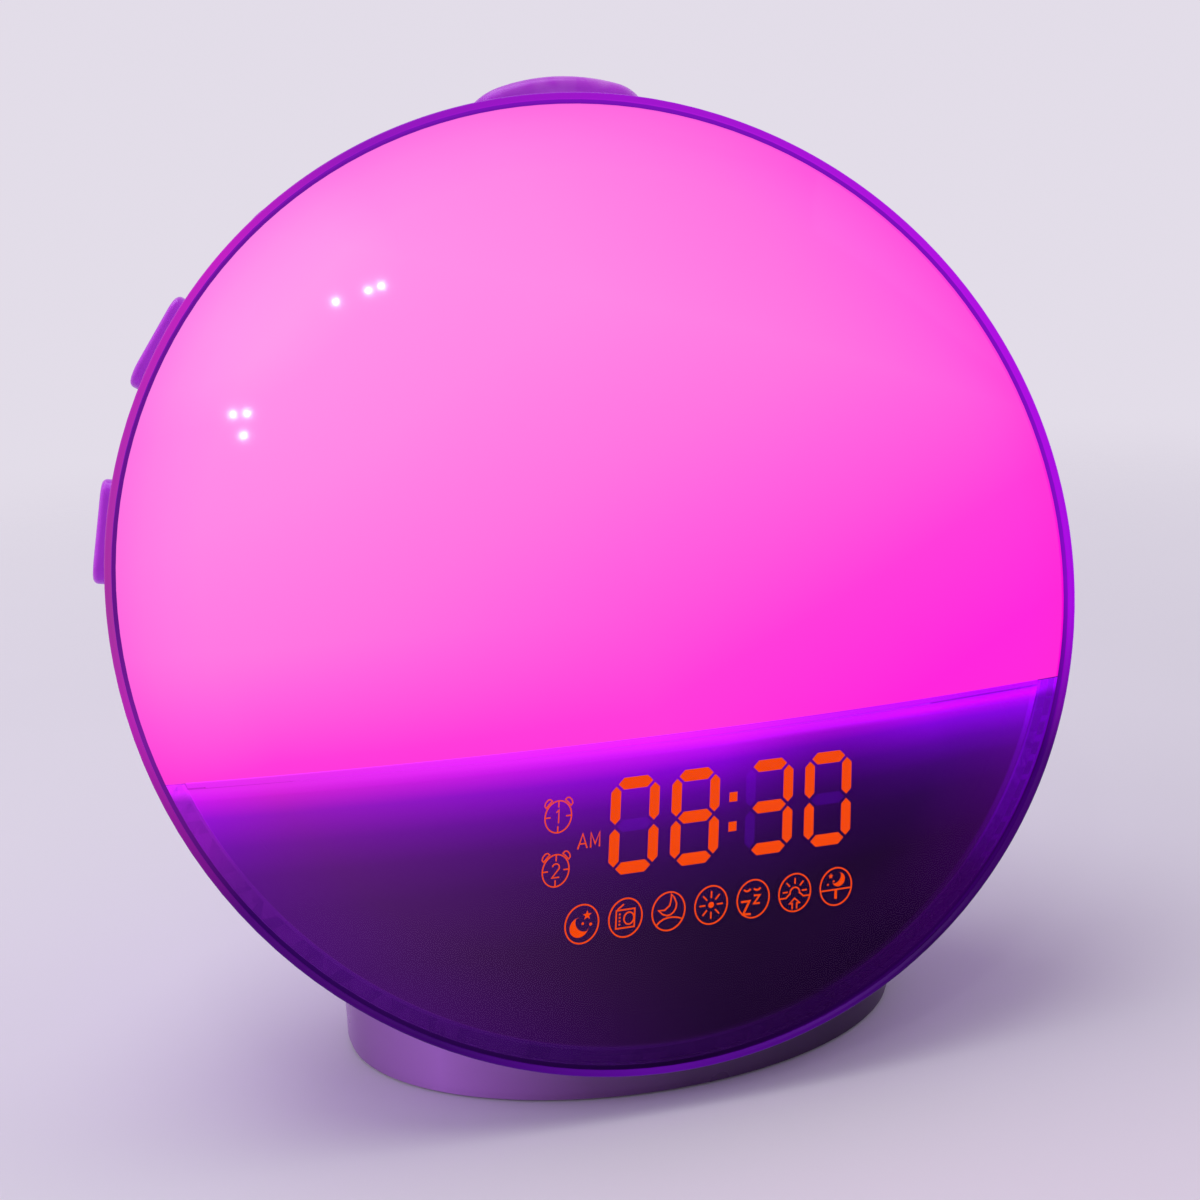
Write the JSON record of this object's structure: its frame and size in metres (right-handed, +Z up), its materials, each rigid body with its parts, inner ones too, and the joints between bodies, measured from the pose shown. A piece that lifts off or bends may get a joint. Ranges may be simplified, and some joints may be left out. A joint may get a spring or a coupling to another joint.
{
  "type": "sunrise alarm clock",
  "caption": "Round sunrise alarm clock: domed opal lamp over a smoked time display, in a drum that leans back on an oval foot, with press buttons round its rim.",
  "frame": {"origin": "middle of the sole's underside, on the surface that the clock stands on", "axes": "+Z up, -Y the way the face looks, +X to the right seen from the front"},
  "size_m": [0.1714, 0.0974, 0.1676],
  "materials": {
    "housing": "gloss moulded",
    "bezel": "high gloss",
    "foot": "satin moulded",
    "diffuser": "opal, polished, lit from behind",
    "window": "smoked, polished",
    "seal": "matt",
    "button": "gloss moulded",
    "plunger": "moulded",
    "white_plastic": "moulded",
    "black_plastic": "moulded",
    "digit_light": "lit orange",
    "film": "printed dark film",
    "digit_dark": "unlit",
    "board": "solder mask",
    "board_white": "solder mask",
    "led": "moulded",
    "screw_steel": "zinc plated",
    "steel": "plated",
    "magnet": "painted",
    "cone_paper": "pressed paper",
    "foam": "foam",
    "sole_rubber": "fine ribbed"
  },
  "bodies": {
    "housing": {"rear_shell": "housing", "front_bezel": "bezel", "lens_seal": "seal", "light_diffuser": "diffuser", "display_window": "window", "foot_shell": "foot", "base_plate": "foot", "rubber_sole": "sole_rubber", "foot_screws": "screw_steel", "base_screws": "screw_steel", "assembly_screws": "screw_steel", "inner_frame": "white_plastic", "light_baffle": "white_plastic", "reflector": "white_plastic", "led_board": "board_white", "led_chips": "led", "led_board_screws": "screw_steel", "display_board": "board", "display_housing": "black_plastic", "display_film": "film", "lit_segments": "digit_light", "unlit_segments": "digit_dark", "display_icons": "digit_dark", "display_screws": "screw_steel", "main_board": "board", "main_board_screws": "screw_steel", "main_chips": "black_plastic", "board_headers": "black_plastic", "tact_switches": "black_plastic", "speaker_frame": "steel", "speaker_magnet": "magnet", "speaker_surround": "foam", "speaker_gasket": "foam", "speaker_screws": "screw_steel", "power_board": "board", "power_board_screws": "screw_steel", "power_jack": "black_plastic", "usb_port": "steel", "coin_cell_cup": "black_plastic", "coin_cell": "steel", "battery_contacts": "steel"},
    "snooze_button": {"snooze_button": "button", "snooze_plunger": "plunger"},
    "right_button_1": {"right_button_1": "button", "right_plunger_1": "plunger"},
    "right_button_2": {"right_button_2": "button", "right_plunger_2": "plunger"},
    "right_button_3": {"right_button_3": "button", "right_plunger_3": "plunger"},
    "left_button_1": {"left_button_1": "button", "left_plunger_1": "plunger"},
    "left_button_2": {"left_button_2": "button", "left_plunger_2": "plunger"},
    "left_button_3": {"left_button_3": "button", "left_plunger_3": "plunger"},
    "speaker_cone": {"speaker_cone": "cone_paper"},
    "battery_door": {"battery_door": "housing", "battery_door_screw": "screw_steel"}
  },
  "joints": [
    {"name": "snooze_press", "type": "slide", "parent": "housing", "child": "snooze_button", "axis": [-0.0279, -0.337, -0.9411], "range_m": [0, 0.0008], "stiffness_N_per_m": 1500},
    {"name": "right_press_1", "type": "slide", "parent": "housing", "child": "right_button_1", "axis": [-0.9829, -0.062, -0.1732], "range_m": [0, 0.0008], "stiffness_N_per_m": 1500},
    {"name": "right_press_2", "type": "slide", "parent": "housing", "child": "right_button_2", "axis": [-0.8368, -0.1846, -0.5155], "range_m": [0, 0.0008], "stiffness_N_per_m": 1500},
    {"name": "right_press_3", "type": "slide", "parent": "housing", "child": "right_button_3", "axis": [-0.5621, -0.2788, -0.7787], "range_m": [0, 0.0008], "stiffness_N_per_m": 1500},
    {"name": "left_press_1", "type": "slide", "parent": "housing", "child": "left_button_1", "axis": [0.9829, -0.062, -0.1732], "range_m": [0, 0.0008], "stiffness_N_per_m": 1500},
    {"name": "left_press_2", "type": "slide", "parent": "housing", "child": "left_button_2", "axis": [0.8368, -0.1846, -0.5155], "range_m": [0, 0.0008], "stiffness_N_per_m": 1500},
    {"name": "left_press_3", "type": "slide", "parent": "housing", "child": "left_button_3", "axis": [0.5621, -0.2788, -0.7787], "range_m": [0, 0.0008], "stiffness_N_per_m": 1500},
    {"name": "cone_stroke", "type": "slide", "parent": "housing", "child": "speaker_cone", "axis": [0, 0.9415, -0.3371], "range_m": [-0.0005, 0.0005], "stiffness_N_per_m": 900},
    {"name": "battery_door_lift", "type": "slide", "parent": "housing", "child": "battery_door", "axis": [0, 0.9415, -0.3371], "range_m": [0, 0.02]}
  ]
}
